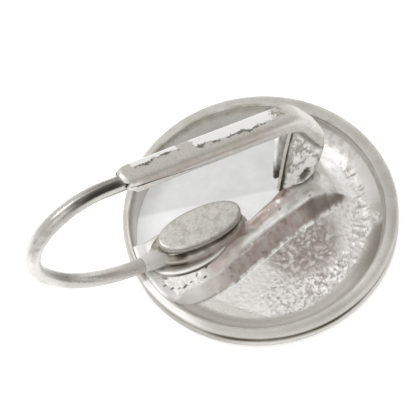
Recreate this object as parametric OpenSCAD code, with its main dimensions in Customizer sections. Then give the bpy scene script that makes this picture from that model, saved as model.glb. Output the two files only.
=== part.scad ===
// Button earring with a hinged lever back, lying face down, seen from its back.
// The button's front rests on z = 0 and its centre is the origin. The wire loop
// points to -X, the hinge is on the +X side, and the back of the earring is +Z.

/* [Button] */
// Outer diameter of the button
button_d = 18; // [16:0.5:20]
// Height of the rim above the front face
rim_h = 2.1; // [1.9:0.05:2.4]
// Radius of the rolled lip's inner edge
lip_inner_r = 8.27; // [8:0.01:8.4]
// How far the hollow sits off centre towards the ear wire
hollow_shift_x = -0.35; // [-0.4:0.05:0]
// How far the hollow sits off centre towards the bar
hollow_shift_y = -0.2; // [-0.3:0.05:0]
// Thickness of the solid half behind the front face
floor_t = 0.7; // [0.5:0.05:0.9]
// Radius at which the dished wall meets the rough floor
floor_r = 6.75; // [6.3:0.05:7]
// Radius of the see-through half's wall
opening_r = 8.05; // [7.9:0.05:8.2]

/* [Bar] */
// Height of the bar's crown above the front face
bar_top = 1.75; // [1.5:0.05:1.8]
// Place of the bar's upper long edge across the button
bar_edge_y = -1.7; // [-1.8:0.05:-1.6]
// Place of the bar's foot on the rough floor
bar_foot_y = -2.6; // [-2.8:0.05:-2.4]
// Turn of the bar's near edge against the finding, in degrees
bar_turn = 5.7; // [4:0.1:7]
// Place of the bar's end beyond the hinge
bar_end_x = 5.1; // [5:0.05:5.3]

/* [Finding] */
// Offset of the wire and lever plane from the button's centre
finding_y = 0.7; // [0.6:0.05:0.8]
// Diameter of the ear wire
wire_d = 1; // [0.9:0.05:1]
// Length of the oval tag
tag_l = 5.7; // [5:0.1:6]
// Width of the oval tag
tag_w = 2.5; // [2.2:0.1:2.6]
// Thickness of the oval tag
tag_t = 0.65; // [0.5:0.05:0.7]

/* [Lever] */
// Outer width of the lever's channel
lever_w = 1.5; // [1.46:0.01:1.56]
// Sheet thickness of the channel
lever_wall = 0.18; // [0.16:0.01:0.2]
// Outer depth of the channel
lever_depth = 1.2; // [1.15:0.05:1.25]
// Width of the leg over its two cheeks
leg_w = 1.3; // [1.26:0.01:1.34]
// Thickness of each cheek of the leg
cheek_t = 0.34; // [0.3:0.01:0.36]
// Lean of the lever's long arm against the button's plane, in degrees
lever_lean = 18.7; // [17:0.1:20]
// Place of the hinge pin's centre along the finding
pin_x = 3.6; // [3.4:0.05:3.7]
// Height of the hinge pin's centre
pin_z = 2.85; // [2.75:0.05:2.95]
// Diameter of the hinge pin
pin_d = 0.5; // [0.4:0.05:0.55]

/* [Hidden] */
$fn = 96;
silver = [0.78, 0.77, 0.74];
worn_silver = [0.72, 0.70, 0.67];

// Button, worked out from its diameter
button_r = button_d / 2;
front_round = 0.5;
seam_z = 1.15;
seam_t = 0.1;
seam_depth = 0.09;
lip_round = 0.4;
lip_step = 0.12;
dish_top_z = rim_h - lip_step - 0.08;
dish_top_r = lip_inner_r - 0.08;
cut = 0.5;

// Bar outline seen from the back: the edge of the see-through half, from the
// ear wire's side past the tag and the hinge to the far side of the rim
OPENING_EDGE = [
    [-9.5, 2.55], [-7.6, 2.5], [-6.4, 2.55], [-5, 2.4], [-3.8, 2.05],
    [-2.7, 1.45], [-1.8, 0.6], [-0.93, -0.15], [0.16, 0.1], [1.16, 0.28],
    [2.01, 0.55], [2.6, 0.95], [3.1, 1.65], [3.7, 2.6], [4.6, 4], [6.4, 6.6]
];

// Ear wire: a straight foot, then three arcs, then a straight tip that runs in
// the lever's channel. Headings are measured up from -X, in degrees.
foot_x = -7.9;
foot_z = 2.45;
foot_heading = 20;
foot_l = 0.8;
peg_l = 0.75;
rise_r = 10.5;
rise_heading = 68.5;
crook_r = 3.4;
crook_heading = 153;
top_r = 4.7;
tip_heading = 180 + lever_lean;
tip_l = 3.2;
wire_lap = 0.06;
wire_thin_d = wire_d - 0.006;
joint_gap = 0.03;

function heading(a) = [-cos(a), sin(a)];
function to_centre(a) = [sin(a), cos(a)];
rise_start = [foot_x, foot_z] + foot_l * heading(foot_heading);
rise_centre = rise_start + rise_r * to_centre(foot_heading);
crook_start = rise_centre - rise_r * to_centre(rise_heading);
crook_centre = crook_start + crook_r * to_centre(rise_heading);
top_start = crook_centre - crook_r * to_centre(crook_heading);
top_centre = top_start + top_r * to_centre(crook_heading);
tip_start = top_centre - top_r * to_centre(tip_heading);

// Lever, in its own frame: the pin is the origin and the long arm is level.
// along() and above() give a point's place in that frame.
function along(p) = (p[0] - pin_x) * cos(lever_lean) - (p[1] - pin_z) * sin(lever_lean);
function above(p) = (p[0] - pin_x) * sin(lever_lean) + (p[1] - pin_z) * cos(lever_lean);
wire_above = above(tip_start);
roof_gap = 0.04;
arm_top = wire_above + wire_d / 2 + roof_gap + lever_wall;
arm_bottom = arm_top - lever_depth;
nose_along = along(tip_start) + 0.8;
nose_round = 0.5;
nose_cut = 1.05;
nose_corner = 0.6;
corner_along = -2.9;
shoulder = 0.3;
leg_rear = 1.1;
leg_foot = 1.04;
tail_above = 2.1;
pin_clear = 0.03;

// Hinge post
post_t = 0.54;
post_r = 0.78;

// Pad and tag, in line with each other
pad_x = -4.45;
pad_y = 0.62;
pad_l = tag_l + 0.75;
pad_w = tag_w + 0.55;
pad_t = 0.8;
neck_t = 0.3;
tag_turn = -8;
tag_x = -4.15;
tag_y = 0.6;
collar_d = 1.4;
collar_reach = 0.45;

// Points of an arc in a plane, from angle a0 to a1 in n steps
function arc(c, r, a0, a1, n) =
    [for (i = [0 : n]) c + r * [cos(a0 + (a1 - a0) * i / n), sin(a0 + (a1 - a0) * i / n)]];

// An upright oval plate with its lowest face at z = 0
module oval(l, w, t) {
    linear_extrude(t) scale([l / w, 1]) circle(d = w);
}

// Places its children, drawn in the X-Z plane, in the finding's plane
module in_finding(w) {
    translate([0, finding_y + w / 2, 0]) rotate([90, 0, 0]) linear_extrude(w) children();
}

// The outer body of the button: flat front, round edge, seam and rolled lip
module button_blank() {
    lip_r = button_r - 0.02;
    rotate_extrude($fn = 180) polygon(concat(
        [[0, 0], [button_r - front_round, 0]],
        arc([button_r - front_round, front_round], front_round, -75, 0, 6),
        [[button_r, seam_z], [button_r - seam_depth, seam_z + seam_t / 2]],
        [[lip_r, seam_z + seam_t]],
        arc([lip_r - lip_round, rim_h - lip_round], lip_round, 0, 90, 8),
        [[0, rim_h]]
    ));
}

// What is hollowed out behind the solid half, down to the floor
module dish() {
    translate([hollow_shift_x, hollow_shift_y, 0]) rotate_extrude($fn = 180) polygon(concat(
        [[0, floor_t]],
        [for (i = [0 : 8])
            let (t = i / 8)
            [floor_r + (dish_top_r - floor_r) * sin(90 * t), floor_t + (dish_top_z - floor_t) * (1 - cos(90 * t))]],
        [[lip_inner_r, rim_h - lip_step], [lip_inner_r, rim_h - 0.04]],
        [[lip_inner_r + 0.06, rim_h + cut], [0, rim_h + cut]]
    ));
}

// The see-through half, as a plan outline
module opening_outline() {
    intersection() {
        translate([hollow_shift_x, hollow_shift_y]) circle(opening_r, $fn = 180);
        polygon(concat(OPENING_EDGE, [[7, 10], [-10, 10]]));
    }
}

// The bar that carries the finding, with its sloping side on the rough floor
module bar() {
    side_round = 0.25;
    end_slope = 0.55;
    intersection() {
        rotate([0, 0, bar_turn]) translate([8, 0, 0]) rotate([90, 0, -90]) linear_extrude(18) polygon(concat(
            [[-bar_foot_y, floor_t - 0.2], [-bar_foot_y, floor_t], [-bar_foot_y - 0.15, floor_t + 0.12]],
            arc([-bar_edge_y - side_round, bar_top - side_round], side_round, 35, 90, 4),
            [[-8.5, bar_top], [-8.5, floor_t - 0.2]]
        ));
        translate([0, 10, 0]) rotate([90, 0, 0]) linear_extrude(20) polygon([
            [-10, floor_t - 0.3], [bar_end_x + end_slope, floor_t - 0.3], [bar_end_x + end_slope, floor_t],
            [bar_end_x + 0.1, bar_top - 0.15], [bar_end_x, bar_top + 0.1], [-10, bar_top + 0.1]
        ]);
        translate([0, 0, floor_t - 0.3]) cylinder(h = rim_h, r = button_r - 0.45);
    }
}

// Post that stands between the lever's cheeks and carries the pin
module hinge_post() {
    in_finding(post_t) {
        translate([pin_x, pin_z]) circle(post_r);
        polygon([
            [pin_x - post_r, pin_z], [pin_x + post_r, pin_z],
            [pin_x + post_r, bar_top - 0.3], [pin_x - post_r - 0.25, bar_top - 0.3]
        ]);
    }
}

// Pad under the tag, with the collar that the ear wire is pegged into
module tag_pad() {
    translate([pad_x, pad_y, bar_top - 0.2]) rotate([0, 0, tag_turn]) {
        oval(pad_l, pad_w, pad_t + 0.2 - 0.15);
        translate([0, 0, pad_t + 0.2 - 0.15]) oval(pad_l - 0.2, pad_w - 0.2, 0.15);
    }
    translate([tag_x, tag_y, bar_top + pad_t - 0.1]) rotate([0, 0, tag_turn])
        oval(tag_l - 0.7, tag_w - 0.7, neck_t + 0.1 - joint_gap);
    intersection() {
        along_foot(-peg_l - 0.3) cylinder(h = peg_l + 0.3 + collar_reach, d = collar_d);
        translate([foot_x - 2, -2, bar_top - 0.3]) cube([2.9, 5, 3]);
    }
}

// Places its children with +Z along the wire's foot, from a distance s past its start
module along_foot(s) {
    translate([foot_x, finding_y, foot_z]) rotate([0, -90 + foot_heading, 0]) translate([0, 0, s]) children();
}

module button() {
    color(silver) difference() {
        union() {
            difference() {
                union() {
                    difference() {
                        button_blank();
                        dish();
                    }
                    bar();
                }
                translate([0, 0, -cut]) linear_extrude(rim_h + 2 * cut) opening_outline();
            }
            hinge_post();
            tag_pad();
        }
        along_foot(-peg_l - joint_gap) cylinder(h = peg_l + 1, d = wire_d + 2 * joint_gap);
        translate([pin_x, finding_y + 2, pin_z]) rotate([90, 0, 0]) cylinder(h = 4, d = pin_d + 0.02);
    }
}

// One bend of the wire, from heading a0 to heading a1 about a centre in the finding.
// It runs a little way into its neighbours, which are a hair thicker or thinner.
module wire_bend(centre, r, a0, a1, d) {
    lap = wire_lap * 180 / (PI * r);
    translate([centre[0], finding_y, centre[1]]) rotate([90, 0, 0]) rotate([0, 0, 270 - a1 - lap])
        rotate_extrude(angle = a1 - a0 + 2 * lap, $fn = 144)
            translate([r, 0]) circle(d = d, $fn = 48);
}

module ear_wire() {
    color(silver) {
        along_foot(-peg_l) cylinder(h = peg_l + foot_l, d = wire_d, $fn = 48);
        wire_bend(rise_centre, rise_r, foot_heading, rise_heading, wire_thin_d);
        wire_bend(crook_centre, crook_r, rise_heading, crook_heading, wire_d);
        wire_bend(top_centre, top_r, crook_heading, tip_heading, wire_thin_d);
        translate([tip_start[0], finding_y, tip_start[1]]) rotate([0, 90 + lever_lean, 0]) {
            cylinder(h = tip_l, d = wire_d, $fn = 48);
            translate([0, 0, tip_l]) sphere(d = wire_thin_d, $fn = 48);
        }
    }
}

module tag() {
    edge = 0.12;
    color(worn_silver) translate([tag_x, tag_y, bar_top + pad_t + neck_t]) rotate([0, 0, tag_turn]) {
        oval(tag_l, tag_w, tag_t - edge);
        translate([0, 0, tag_t - edge]) oval(tag_l - 2 * edge, tag_w - 2 * edge, edge);
    }
}

module hinge_pin() {
    head_t = 0.08;
    color(silver) translate([pin_x, finding_y + leg_w / 2 + head_t, pin_z]) rotate([90, 0, 0])
        cylinder(h = leg_w + 2 * head_t, d = pin_d, $fn = 48);
}

// Places its children, made in the lever's own frame, at the closed lever
module at_lever() {
    translate([pin_x, finding_y, pin_z]) rotate([0, lever_lean, 0]) children();
}

// Extrudes a side outline of the lever to a width about its middle plane
module in_lever(w) {
    at_lever() translate([0, w / 2, 0]) rotate([90, 0, 0]) linear_extrude(w) children();
}

// Side outline of the cap: the long arm, its slanting nose, the corner and the tail
module cap_outline() {
    polygon(concat(
        [[nose_along, arm_top - 0.5]],
        arc([nose_along + nose_round, arm_top - nose_round], nose_round, 165, 90, 5),
        arc([corner_along, arm_top - 2.1], 2.1, 90, 50, 6),
        arc([-0.55, 2.55], 1.6, 42, 0, 5),
        [[leg_rear + 0.02, tail_above]],
        [[leg_rear - 0.75, 2.6], [-0.9, 3.9], [-1.5, 4.62]],
        [[-2.3, arm_bottom - 0.1], [-3.2, arm_bottom]],
        [[nose_along + nose_cut, arm_bottom]]
    ));
}

// A long bar with its two upper edges rounded, level with the lever's arm
module rounded_bar(top) {
    translate([-20, 0, 0]) rotate([90, 0, 90]) linear_extrude(40) {
        translate([-lever_w / 2, top - 12]) square([lever_w, 12 - shoulder]);
        translate([-lever_w / 2 + shoulder, top - shoulder - 0.1]) square([lever_w - 2 * shoulder, shoulder + 0.1]);
        for (side = [-1, 1]) translate([side * (lever_w / 2 - shoulder), top - shoulder]) circle(shoulder);
    }
}

// The cap with rounded shoulders along its arm and along its slanting back
module cap() {
    back_slope = 42.5;
    back_point = [-0.45, 4.75];
    intersection() {
        in_lever(lever_w) cap_outline();
        at_lever() rounded_bar(arm_top);
        at_lever() translate([back_point[0], 0, back_point[1]]) rotate([0, back_slope, 0]) rounded_bar(0.04);
        at_lever() linear_extrude(20, center = true) {
            for (side = [-1, 1])
                translate([nose_along + nose_corner, side * (lever_w / 2 - nose_corner)]) circle(nose_corner);
            translate([nose_along + nose_corner, -lever_w / 2]) square([20, lever_w]);
            translate([nose_along, -lever_w / 2 + nose_corner]) square([2, lever_w - 2 * nose_corner]);
        }
    }
}

// Side outline of a cheek of the leg, round about the pin behind. The far cheek is
// cut back at its front foot.
module cheek_outline(front_mid, front_foot) {
    polygon(concat(
        [[-2.47, 5], front_mid, front_foot],
        arc([0, 0], leg_foot, -95, 8, 8),
        [[leg_rear + 0.05, 0.5], [leg_rear, 1.6], [leg_rear - 0.05, 2.4]],
        [[0.2, 3.6], [-1, 4.8]]
    ));
}

module leg() {
    near_y = -leg_w / 2;
    far_y = leg_w / 2 - cheek_t;
    at_lever() translate([0, near_y + cheek_t, 0]) rotate([90, 0, 0]) linear_extrude(cheek_t)
        cheek_outline([-2.3, 3], [-1.75, -leg_foot]);
    at_lever() translate([0, far_y + cheek_t, 0]) rotate([90, 0, 0]) linear_extrude(cheek_t)
        cheek_outline([-2.3, 2.9], [-1.35, -leg_foot]);
    // web that joins the cheeks behind and above the post
    in_lever(leg_w - 0.1) polygon([
        [-2.47, 5.2], [-2.1, 4.7], [-0.6, 4.1], [0.8, 2.6], [0.8, 1.9], [leg_rear, 1.7],
        [leg_rear - 0.05, 2.4], [0.2, 3.7], [-1, 4.9], [-2.3, 5.6]
    ]);
}

module lever() {
    inner = lever_w - 2 * lever_wall;
    color(silver) difference() {
        union() {
            cap();
            leg();
        }
        // channel of the long arm
        in_lever(inner) polygon([
            [nose_along - 1, arm_bottom - 1], [nose_along - 1, arm_top - lever_wall],
            [corner_along + 0.4, arm_top - lever_wall], [corner_along + 0.4, arm_bottom - 1]
        ]);
        // bore for the pin
        in_lever(4) circle(d = pin_d + 2 * pin_clear);
    }
}

button();
ear_wire();
tag();
hinge_pin();
lever();
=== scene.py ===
"""Looks of the button earring: silver, lying face down on pale paper, back up.

Shapes are made in millimetres and scaled to metres when they are placed. Masks
from 0 to 1 are stored on the meshes' points, and the materials read them.
"""
import bpy
import math
import numpy as np
from mathutils import Matrix, Vector


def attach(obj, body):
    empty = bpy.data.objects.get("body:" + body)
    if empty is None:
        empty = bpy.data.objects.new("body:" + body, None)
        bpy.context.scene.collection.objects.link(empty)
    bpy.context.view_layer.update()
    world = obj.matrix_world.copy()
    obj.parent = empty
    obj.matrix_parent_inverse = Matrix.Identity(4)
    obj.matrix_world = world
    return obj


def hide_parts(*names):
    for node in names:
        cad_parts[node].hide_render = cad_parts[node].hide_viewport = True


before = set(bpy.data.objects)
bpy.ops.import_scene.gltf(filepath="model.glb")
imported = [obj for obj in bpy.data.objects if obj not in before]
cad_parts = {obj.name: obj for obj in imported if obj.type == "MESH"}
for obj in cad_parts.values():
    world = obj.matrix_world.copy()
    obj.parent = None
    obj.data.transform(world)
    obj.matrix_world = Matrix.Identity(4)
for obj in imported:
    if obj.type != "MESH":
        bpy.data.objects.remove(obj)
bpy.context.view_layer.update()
scene = bpy.context.scene

MM = 0.001

# Main measures, in millimetres
HOLLOW = np.array([-0.35, -0.2])  # the hollow's centre lies off the button's
HOLLOW_R = 8.27  # where the back meets the rim's lip
SEAM_Z = 1.19  # height of the rim's seam
PLANE = 0.7  # y of the upright plane of wire and lever
PIN_X, PIN_Z, PIN_R = 3.6, 2.85, 0.25  # the hinge pin
LEAN = math.radians(18.7)  # slope of the closed lever
WIRE_FOOT = np.array([-7.9, 2.45])  # x and z of the wire in the collar
FOOT_SLOPE = 20  # the wire's direction there, in degrees
WIRE_R = 0.5


# Numbers and masks

def lattice(ix, iy, seed):
    """A fixed value from 0 to 1 for each point of a grid."""
    h = np.sin(ix * 127.1 + iy * 311.7 + seed * 74.7) * 43758.5453
    return h - np.floor(h)


def value_noise(x, y, seed):
    """Smooth noise from -1 to 1."""
    ix, iy = np.floor(x), np.floor(y)
    fx, fy = x - ix, y - iy
    fx = fx * fx * (3 - 2 * fx)
    fy = fy * fy * (3 - 2 * fy)
    a = lattice(ix, iy, seed) * (1 - fx) + lattice(ix + 1, iy, seed) * fx
    b = lattice(ix, iy + 1, seed) * (1 - fx) + lattice(ix + 1, iy + 1, seed) * fx
    return (a * (1 - fy) + b * fy) * 2 - 1


def fractal(x, y, scale, seed, octaves=4, gain=0.55):
    """Layers of noise, each turned, twice as fine and fainter than the last."""
    total, amp, norm = 0, 1, 0
    for k in range(octaves):
        turn = 0.6 * k
        u = (x * math.cos(turn) - y * math.sin(turn)) * scale * 2 ** k
        v = (x * math.sin(turn) + y * math.cos(turn)) * scale * 2 ** k
        total = total + amp * value_noise(u + 17.3 * k, v - 9.1 * k, seed + k)
        norm += amp
        amp *= gain
    return total / norm


def smooth(a, b, x):
    """0 at a and 1 at b, with a soft run between them."""
    t = np.clip((x - a) / (b - a), 0, 1)
    return t * t * (3 - 2 * t)


def near(x, centre, inner, outer):
    """1 within inner of the centre, 0 beyond outer."""
    return smooth(outer, inner, np.abs(x - centre))


def spot(x, y, centre, reach, inner, outer=1):
    """1 in the middle of an oval, 0 outside it; reach is its half size in x and y."""
    return smooth(outer, inner, np.hypot((x - centre[0]) / reach[0], (y - centre[1]) / reach[1]))


def span(x, a, b, c, d):
    """1 between b and c, 0 below a and above d."""
    return smooth(a, b, x) * smooth(d, c, x)


def unit(values):
    return np.clip(values, 0, 1)


def most(*masks):
    """The largest of the masks at every point."""
    return np.maximum.reduce(np.broadcast_arrays(*masks))


def along_line(line, x):
    """The y at x of a line given by its points."""
    line_x, line_y = zip(*line)
    return np.interp(x, line_x, line_y)


# Meshes

def arc(cx, cy, r, a0, a1, n):
    turns = [math.radians(a0 + (a1 - a0) * i / n) for i in range(n + 1)]
    return [(cx + r * math.cos(a), cy + r * math.sin(a)) for a in turns]


def full_turn(count):
    return [2 * math.pi * k / count for k in range(count)]


def mesh_object(name, verts, faces, sharp_angle):
    """A closed mesh, smooth but at edges sharper than the angle."""
    mesh = bpy.data.meshes.new(name)
    mesh.from_pydata(np.array(verts).tolist(), [], faces)
    mesh.update()
    if sum(p.center.dot(p.normal) * p.area for p in mesh.polygons) < 0:
        mesh.flip_normals()
    obj = bpy.data.objects.new(name, mesh)
    scene.collection.objects.link(obj)
    mesh.shade_smooth()
    mesh.set_sharp_from_angle(angle=math.radians(sharp_angle))
    return obj


def grid_faces(rows, cols, close_rows=False, close_cols=False, flip=False):
    faces = []
    for i in range(rows if close_rows else rows - 1):
        for j in range(cols if close_cols else cols - 1):
            next_i, next_j = (i + 1) % rows, (j + 1) % cols
            a, b = i * cols + j, i * cols + next_j
            c, d = next_i * cols + next_j, next_i * cols + j
            faces.append((a, d, c, b) if flip else (a, b, c, d))
    return faces


def ring_stack(name, rings, sharp_angle, flip=False):
    """A solid from rings of points one after another, with a flat face at both ends."""
    size = len(rings[0])
    first = tuple(range(size))
    last = tuple((len(rings) - 1) * size + k for k in first)
    faces = grid_faces(len(rings), size, close_cols=True, flip=flip)
    faces += [first, last[::-1]] if flip else [first[::-1], last]
    return mesh_object(name, [point for ring in rings for point in ring], faces, sharp_angle)


def coordinates(obj):
    """The mesh's points, one row each."""
    return np.array([v.co[:] for v in obj.data.vertices])


def apply_modifiers(obj):
    deps = bpy.context.evaluated_depsgraph_get()
    mesh = bpy.data.meshes.new_from_object(obj.evaluated_get(deps))
    obj.modifiers.clear()
    obj.data = mesh


def cut_away(obj, cutter):
    mod = obj.modifiers.new("cut", "BOOLEAN")
    mod.operation = "DIFFERENCE"
    mod.solver = "EXACT"
    mod.object = cutter
    apply_modifiers(obj)
    bpy.data.objects.remove(cutter)


def join(name, parts):
    with bpy.context.temp_override(active_object=parts[0], selected_editable_objects=parts,
                                   selected_objects=parts, object=parts[0]):
        bpy.ops.object.join()
    parts[0].name = name
    parts[0].data.name = name
    return parts[0]


def paint(obj, **masks):
    """Stores masks on the mesh's points, under the names that the materials read."""
    for name, values in masks.items():
        layer = obj.data.attributes.new(name, "FLOAT", "POINT")
        layer.data.foreach_set("value", np.broadcast_to(values, len(layer.data)).astype(np.float32))


def place(obj, material, body, node):
    """Scales a piece to metres and hands it to its body."""
    obj.data.transform(Matrix.Scale(MM, 4))
    obj.data.materials.clear()
    obj.data.materials.append(material)
    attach(obj, body)
    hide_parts(node)


# Materials

def set_inputs(node, values):
    for name, value in values.items():
        node.inputs[name].default_value = value


class Nodes:
    """A short way to write node trees, of numbers and other nodes' outputs."""

    def __init__(self, tree):
        self.tree = tree
        tree.nodes.clear()

    def add(self, kind, **settings):
        node = self.tree.nodes.new(kind)
        for key, value in settings.items():
            setattr(node, key, value)
        return node

    def link(self, a, b):
        self.tree.links.new(a, b)

    def math(self, operation, total, *others):
        for value in others:
            node = self.add("ShaderNodeMath", operation=operation)
            for socket, given in zip(node.inputs, (total, value)):
                if isinstance(given, (int, float)):
                    socket.default_value = given
                else:
                    self.link(given, socket)
            total = node.outputs[0]
        return total

    def times(self, *values):
        return self.math("MULTIPLY", *values)

    def plus(self, *values):
        return self.math("ADD", *values)

    def minus(self, a, b):
        return self.math("SUBTRACT", a, b)

    def ramp(self, value, start, end, low=0, high=1):
        node = self.add("ShaderNodeMapRange", interpolation_type="SMOOTHSTEP")
        self.link(value, node.inputs["Value"])
        set_inputs(node, {"From Min": start, "From Max": end, "To Min": low, "To Max": high})
        return node.outputs[0]

    def band(self, value, low0, low1, high0, high1):
        """1 between low1 and high0, falling to 0 at low0 and high1."""
        return self.times(self.ramp(value, low0, low1), self.ramp(value, high0, high1, 1, 0))

    def mix(self, factor, a, b):
        node = self.add("ShaderNodeMix", data_type="RGBA")
        for socket, value in ((node.inputs[0], factor), (node.inputs[6], a), (node.inputs[7], b)):
            if isinstance(value, tuple):
                socket.default_value = value + (1,)
            else:
                self.link(value, socket)
        return node.outputs[2]

    def noise(self, vector, scale, detail=3, rough=0.55, distortion=0):
        node = self.add("ShaderNodeTexNoise")
        set_inputs(node, {"Scale": scale, "Detail": detail, "Roughness": rough, "Distortion": distortion})
        self.link(vector, node.inputs["Vector"])
        return node.outputs["Fac"]

    def mask(self, name):
        """A mask that paint() stored on the mesh."""
        return self.add("ShaderNodeAttribute", attribute_name=name).outputs["Fac"]

    def split(self, vector):
        """Its x, y and z, turned from metres to millimetres."""
        node = self.add("ShaderNodeSeparateXYZ")
        self.link(vector, node.inputs[0])
        return [self.times(node.outputs[k], 1 / MM) for k in "XYZ"]


def new_material(name):
    """A material, its nodes, its shader and the place in the object."""
    material = bpy.data.materials.new(name)
    material.use_nodes = True
    n = Nodes(material.node_tree)
    shader = n.add("ShaderNodeBsdfPrincipled")
    n.link(shader.outputs[0], n.add("ShaderNodeOutputMaterial").inputs[0])
    return material, n, shader, n.add("ShaderNodeTexCoord").outputs["Object"]


PATINA_AND_SHADE_TONE = (0.085, 0.068, 0.04)


def silver(name, base, dark, roughness, scratches, bump, tarnish, reach, dress):
    """Silver with a mottled tone and fine scratches, and dark patina and painted shade in the corners.

    That darkening spreads over reach from a corner. dress adds what is one piece's own.
    """
    material, n, shader, where = new_material(name)
    shader.inputs["Metallic"].default_value = 1
    cloud = n.noise(where, 900, 4, 0.6)
    speck = n.noise(where, 4200, 3, 0.6)
    grit = n.noise(where, 8000, 3, 0.6)
    fine = n.noise(where, 11000, 2, 0.5)
    colour = n.mix(n.ramp(cloud, 0.35, 0.7), base, tuple(c * 0.93 for c in base))
    colour = n.mix(n.times(n.ramp(speck, 0.62, 0.74), scratches), colour, dark)
    colour = n.mix(n.times(n.ramp(grit, 0.45, 0.68), scratches), colour, tuple(c * 0.6 for c in base))
    # painted shade with patina: the colour darkens where the occlusion finds a corner
    occlusion = n.add("ShaderNodeAmbientOcclusion", samples=8)
    occlusion.inputs["Distance"].default_value = reach * MM
    corner = n.minus(1, n.ramp(occlusion.outputs["AO"], 0.25, 0.85))
    colour = n.mix(n.times(corner, tarnish), colour, dark)
    rough = n.plus(n.times(cloud, 0.16), roughness - 0.08)
    height = n.plus(n.times(fine, 0.5), speck)
    colour, rough, height, frost = dress(n, where, colour, rough, height)
    n.link(colour, shader.inputs["Base Color"])
    n.link(n.minus(1, frost), shader.inputs["Metallic"])
    n.link(rough, shader.inputs["Roughness"])
    relief = n.add("ShaderNodeBump")
    set_inputs(relief, {"Strength": bump, "Distance": 0.05 * MM})
    n.link(height, relief.inputs["Height"])
    n.link(relief.outputs[0], shader.inputs["Normal"])
    return material


def painted(n, colour, patina_and_shade_tone=PATINA_AND_SHADE_TONE):
    """The colour and the frost after the meshes' masks."""
    # the masks paint whitish frost with painted highlights and painted light, pinkish stain with painted
    # reflection, painted shade, olive tone, and tarnish with painted shade
    for mask, tone in (("bright", (0.985, 0.98, 0.965)), ("stain", (0.44, 0.31, 0.265)),
                       ("shade", (0.36, 0.34, 0.315)), ("olive", (0.30, 0.27, 0.20)), ("tarnish", patina_and_shade_tone)):
        colour = n.mix(n.mask(mask), colour, tone)
    return colour, n.times(n.mask("frost"), 0.8)


def dress_button(n, where, colour, rough, height):
    """The whitish cast floor with its dark cavities and pits, and the polished crown."""
    colour = n.mix(n.mask("cast"), colour, (0.97, 0.955, 0.945))
    colour, frost = painted(n, colour)
    colour = n.mix(n.times(n.mask("cavity"), 0.9), colour, (0.245, 0.195, 0.172))
    colour = n.mix(n.times(n.mask("pit"), 0.9), colour, (0.07, 0.06, 0.055))
    rough = n.minus(rough, n.times(n.mask("polish"), 0.14))
    return colour, rough, height, frost


def blotted(strength, tone, patina_and_shade_tone):
    """A dress of soft blots of the given tone."""
    def dress(n, where, colour, rough, height):
        blot = n.noise(where, 1700, 4, 0.62, 0.3)
        colour = n.mix(n.times(n.ramp(blot, 0.46, 0.64), strength), colour, tone)
        colour, frost = painted(n, colour, patina_and_shade_tone)
        return colour, rough, height, frost
    return dress


# worn patches on the arm's top: start and end along the arm, near edge across it
WORN_PATCHES = ((-13.95, -11.9, 0.30), (-12, -10.5, 0.38), (-9.7, -6.6, 0.02), (-7.1, -3.5, -0.06))


def dress_lever(n, where, colour, rough, height):
    # the lever's own directions: along runs down the arm, above points out of it
    turned = n.add("ShaderNodeMapping", vector_type="POINT")
    pin = (MM * (PIN_Z * math.sin(LEAN) - PIN_X * math.cos(LEAN)), 0,
           -MM * (PIN_X * math.sin(LEAN) + PIN_Z * math.cos(LEAN)))
    set_inputs(turned, {"Location": pin, "Rotation": (0, -LEAN, 0)})
    n.link(where, turned.inputs["Vector"])
    along, across, above = n.split(turned.outputs[0])
    top = n.ramp(above, 6.05, 6.2)
    # painted shade and reflection: the dark, pinkish hollow along the cheek, with an olive line above it
    wobble = n.times(n.minus(n.noise(where, 1500, 3), 0.5), 0.25)
    wavy_above = n.plus(above, wobble)
    groove_shade = n.times(n.band(wavy_above, 5.66, 5.82, 6.06, 6.22),
                     n.band(n.plus(along, wobble), -14.1, -13.6, -6, -2.2))
    colour = n.mix(n.times(groove_shade, 0.62), colour, (0.27, 0.205, 0.19))
    olive = n.times(n.band(wavy_above, 6, 6.14, 6.22, 6.34), n.band(along, -14, -13.4, -4, -3))
    colour = n.mix(n.times(olive, 0.35), colour, (0.42, 0.39, 0.29))
    colour = n.mix(n.times(top, 0.25), colour, (0.52, 0.475, 0.41))
    # torn patches of wear, with painted shadow along their broken lower borders
    tear = n.times(n.minus(n.noise(where, 1300, 4, 0.65, 0.4), 0.5), 0.9)
    side = n.minus(n.plus(across, tear), PLANE)
    torn_along = n.plus(along, tear)
    worn, edge_shadow = 0, 0
    for low, high, edge in WORN_PATCHES:
        reach = n.band(torn_along, low, low + 0.12, high - 0.12, high)
        inside = n.ramp(side, edge - 0.03, edge + 0.03)
        worn = n.math("MAXIMUM", worn, n.times(reach, inside, top))
        shadow_hem = n.band(side, edge - 0.20, edge - 0.12, edge - 0.04, edge + 0.02)
        edge_shadow = n.math("MAXIMUM", edge_shadow, n.times(reach, shadow_hem, top))
    edge_shadow = n.times(edge_shadow, n.ramp(n.noise(where, 2600, 2), 0.44, 0.52))
    golden = n.times(n.band(along, -4, -3.7, -3.1, -2.8), n.band(side, -0.2, 0, 0.5, 0.7),
                     top, n.ramp(n.noise(where, 5200, 2), 0.42, 0.56))
    colour = n.mix(n.times(worn, 0.92), colour, (0.97, 0.97, 0.96))
    colour = n.mix(n.times(edge_shadow, 0.8), colour, (0.12, 0.11, 0.10))
    colour = n.mix(n.times(golden, 0.8), colour, (0.26, 0.23, 0.15))
    colour, frost = painted(n, colour)
    rough = n.plus(rough, n.times(worn, 0.05))
    height = n.plus(height, n.times(worn, 1.5))
    return colour, rough, height, n.math("MAXIMUM", frost, n.times(worn, 0.3))


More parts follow.
